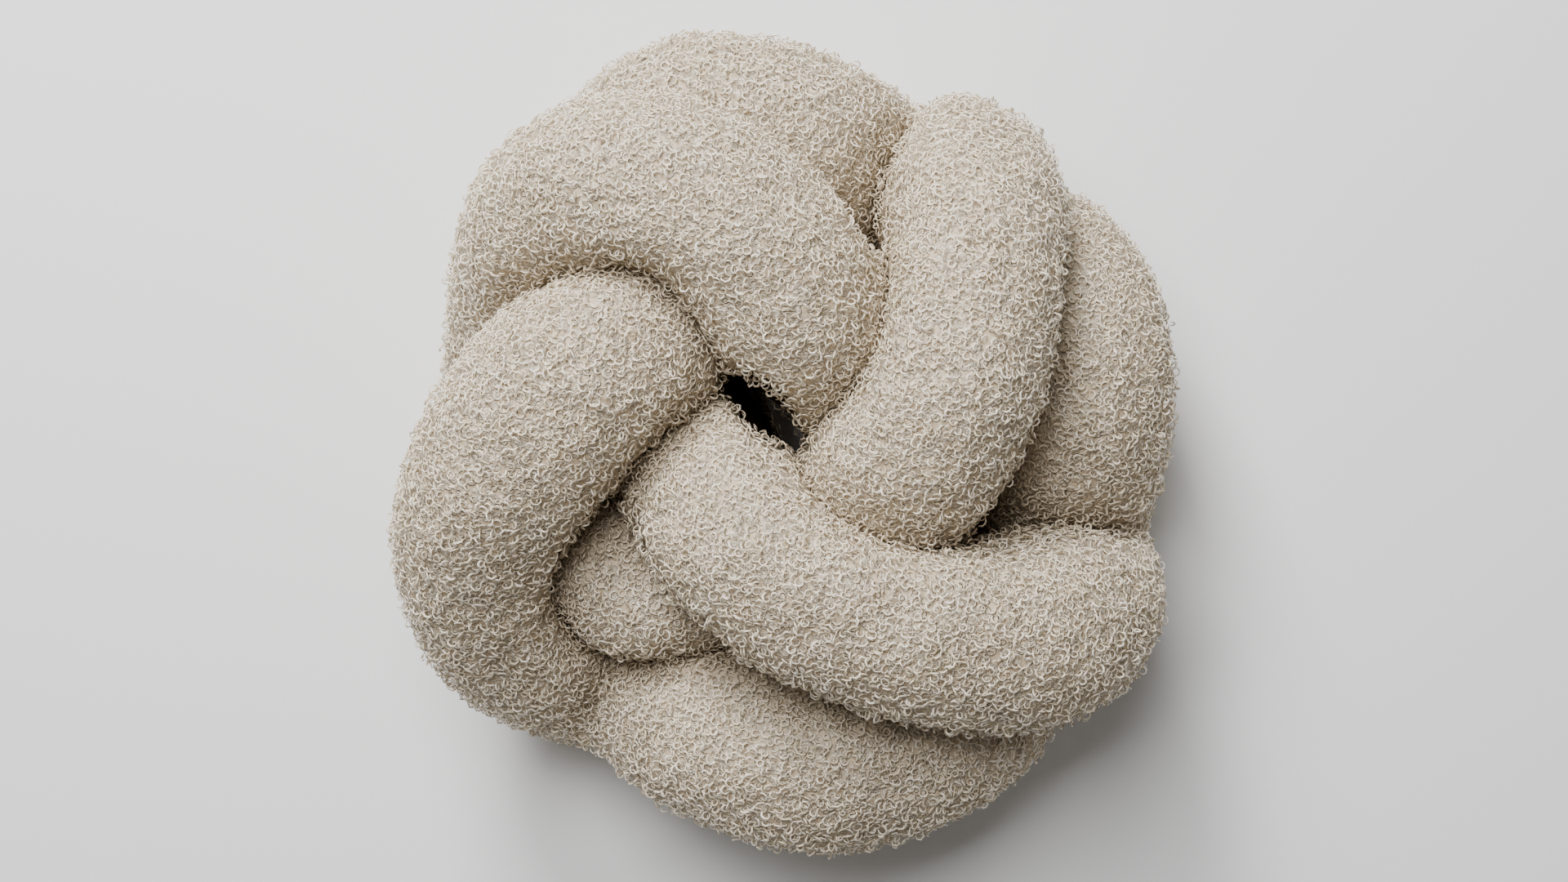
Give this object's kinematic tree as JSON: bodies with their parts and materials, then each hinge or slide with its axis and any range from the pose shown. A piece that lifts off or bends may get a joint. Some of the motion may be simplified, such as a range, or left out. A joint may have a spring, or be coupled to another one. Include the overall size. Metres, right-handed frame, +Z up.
{
  "type": "knot cushion",
  "caption": "Round knot cushion: a thick stuffed tube of cream loop-pile cloth tied into a dense pinwheel knot, with broad arms over lower tails.",
  "frame": {"origin": "middle of the cushion's box, on the surface that it lies on", "axes": "+Z up through the knotted face, +Y towards the top of the face, +X to its right"},
  "size_m": [0.2866, 0.305, 0.1591],
  "materials": {
    "loop_cloth": "cream loop-pile cloth with small glossy curls"
  },
  "bodies": {
    "root": {"knotted_tube": "loop_cloth"}
  },
  "joints": []
}
